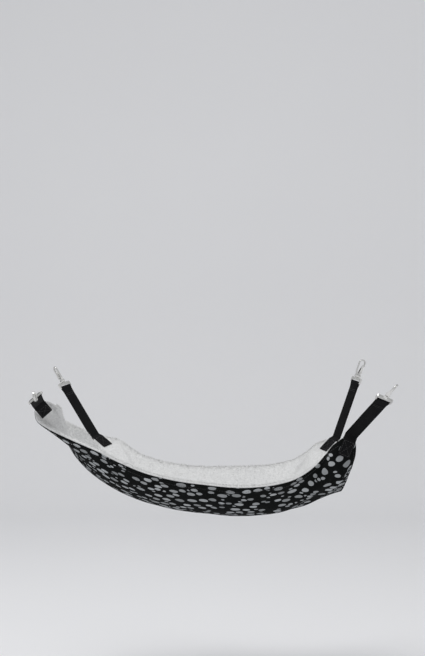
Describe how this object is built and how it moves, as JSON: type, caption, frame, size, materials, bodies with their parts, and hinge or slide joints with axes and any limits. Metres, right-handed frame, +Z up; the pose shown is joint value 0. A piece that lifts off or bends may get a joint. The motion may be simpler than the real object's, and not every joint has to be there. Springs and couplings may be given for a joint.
{
  "type": "cat hammock",
  "caption": "Soft two-layer sling with a dotted underside and a fleece lining, hung by webbing straps with swivel snap hooks at its corners.",
  "frame": {"origin": "centre of the bounding box, at the level of the sling's lowest point", "axes": "+Z up, +X along the sling's length to the viewer's right, -Y towards the viewer"},
  "size_m": [0.5646, 0.4972, 0.2555],
  "materials": {
    "shell_cloth": "dotted brushed polyester, matt",
    "fleece": "short soft pile",
    "webbing": "woven polypropylene webbing",
    "nickel": "bright nickel plate on a zinc casting",
    "spring_steel": "drawn spring wire"
  },
  "bodies": {
    "sling": {"sling_shell": "shell_cloth", "sling_fleece": "fleece", "strap_tail_near_left": "webbing", "strap_tail_near_right": "webbing", "strap_tail_far_left": "webbing", "strap_tail_far_right": "webbing"},
    "strap_near_left": {"strap_near_left": "webbing"},
    "eye_near_left": {"swivel_eye_near_left": "nickel"},
    "hook_near_left": {"hook_near_left": "nickel", "gate_pin_near_left": "nickel", "gate_spring_near_left": "spring_steel"},
    "gate_near_left": {"gate_near_left": "nickel"},
    "strap_near_right": {"strap_near_right": "webbing"},
    "eye_near_right": {"swivel_eye_near_right": "nickel"},
    "hook_near_right": {"hook_near_right": "nickel", "gate_pin_near_right": "nickel", "gate_spring_near_right": "spring_steel"},
    "gate_near_right": {"gate_near_right": "nickel"},
    "strap_far_left": {"strap_far_left": "webbing"},
    "eye_far_left": {"swivel_eye_far_left": "nickel"},
    "hook_far_left": {"hook_far_left": "nickel", "gate_pin_far_left": "nickel", "gate_spring_far_left": "spring_steel"},
    "gate_far_left": {"gate_far_left": "nickel"},
    "strap_far_right": {"strap_far_right": "webbing"},
    "eye_far_right": {"swivel_eye_far_right": "nickel"},
    "hook_far_right": {"hook_far_right": "nickel", "gate_pin_far_right": "nickel", "gate_spring_far_right": "spring_steel"},
    "gate_far_right": {"gate_far_right": "nickel"}
  },
  "joints": [
    {"name": "strap_fold_near_left", "type": "hinge", "parent": "sling", "child": "strap_near_left", "pos_m": [-0.25685, -0.10335, 0.18934], "axis": [-0.7305, -0.1588, -0.6641], "range_deg": [-60, 110]},
    {"name": "eye_tilt_near_left", "type": "hinge", "parent": "strap_near_left", "child": "eye_near_left", "pos_m": [-0.24607, -0.20601, 0.20202], "axis": [-0.7305, -0.1588, -0.6641], "range_deg": [-85, 85]},
    {"name": "hook_swivel_near_left", "type": "hinge", "parent": "eye_near_left", "child": "hook_near_left", "pos_m": [-0.24607, -0.20601, 0.20202], "axis": [0.1037, -0.9871, 0.1219], "continuous": true},
    {"name": "gate_open_near_left", "type": "hinge", "parent": "hook_near_left", "child": "gate_near_left", "pos_m": [-0.24466, -0.22445, 0.20644], "axis": [0.9619, 0.1307, 0.2401], "range_deg": [0, 20], "stiffness_Nm_per_rad": 0.02, "springref_deg": -17.19, "deforming": ["gate_spring_near_left"]},
    {"name": "strap_fold_near_right", "type": "hinge", "parent": "sling", "child": "strap_near_right", "pos_m": [0.22065, -0.09636, 0.14134], "axis": [0.9141, 0.1664, -0.3697], "range_deg": [-138, 34]},
    {"name": "eye_tilt_near_right", "type": "hinge", "parent": "strap_near_right", "child": "eye_near_right", "pos_m": [0.25772, -0.17585, 0.19722], "axis": [0.9141, 0.1664, -0.3697], "range_deg": [-85, 85]},
    {"name": "hook_swivel_near_right", "type": "hinge", "parent": "eye_near_right", "child": "hook_near_right", "pos_m": [0.25772, -0.17585, 0.19722], "axis": [0.3564, -0.7644, 0.5373], "continuous": true},
    {"name": "gate_open_near_right", "type": "hinge", "parent": "hook_near_right", "child": "gate_near_right", "pos_m": [0.26307, -0.19166, 0.20633], "axis": [-0.6951, 0.1674, 0.6992], "range_deg": [0, 20], "stiffness_Nm_per_rad": 0.02, "springref_deg": -17.19, "deforming": ["gate_spring_near_right"]},
    {"name": "strap_fold_far_left", "type": "hinge", "parent": "sling", "child": "strap_far_left", "pos_m": [-0.20368, 0.21567, 0.11955], "axis": [-0.6493, -0.7201, -0.2445], "range_deg": [-65, 110]},
    {"name": "eye_tilt_far_left", "type": "hinge", "parent": "strap_far_left", "child": "eye_far_left", "pos_m": [-0.25819, 0.2355, 0.20587], "axis": [-0.6493, -0.7201, -0.2445], "range_deg": [-85, 85]},
    {"name": "hook_swivel_far_left", "type": "hinge", "parent": "eye_far_left", "child": "hook_far_left", "pos_m": [-0.25819, 0.2355, 0.20587], "axis": [-0.5241, 0.1908, 0.83], "continuous": true},
    {"name": "gate_open_far_left", "type": "hinge", "parent": "hook_far_left", "child": "gate_far_left", "pos_m": [-0.26888, 0.24093, 0.22061], "axis": [0.7698, 0.523, 0.3659], "range_deg": [0, 20], "stiffness_Nm_per_rad": 0.02, "springref_deg": -17.19, "deforming": ["gate_spring_far_left"]},
    {"name": "strap_fold_far_right", "type": "hinge", "parent": "sling", "child": "strap_far_right", "pos_m": [0.22991, 0.21565, 0.11625], "axis": [-0.5123, 0.837, 0.1923], "range_deg": [-60, 115]},
    {"name": "eye_tilt_far_right", "type": "hinge", "parent": "strap_far_right", "child": "eye_far_right", "pos_m": [0.2639, 0.21387, 0.21452], "axis": [-0.5123, 0.837, 0.1923], "range_deg": [-85, 85]},
    {"name": "hook_swivel_far_right", "type": "hinge", "parent": "eye_far_right", "child": "hook_far_right", "pos_m": [0.2639, 0.21387, 0.21452], "axis": [0.3268, -0.0171, 0.9449], "continuous": true},
    {"name": "gate_open_far_right", "type": "hinge", "parent": "hook_far_right", "child": "gate_far_right", "pos_m": [0.27205, 0.21423, 0.23169], "axis": [0.2893, -0.95, -0.1173], "range_deg": [0, 20], "stiffness_Nm_per_rad": 0.02, "springref_deg": -17.19, "deforming": ["gate_spring_far_right"]}
  ]
}
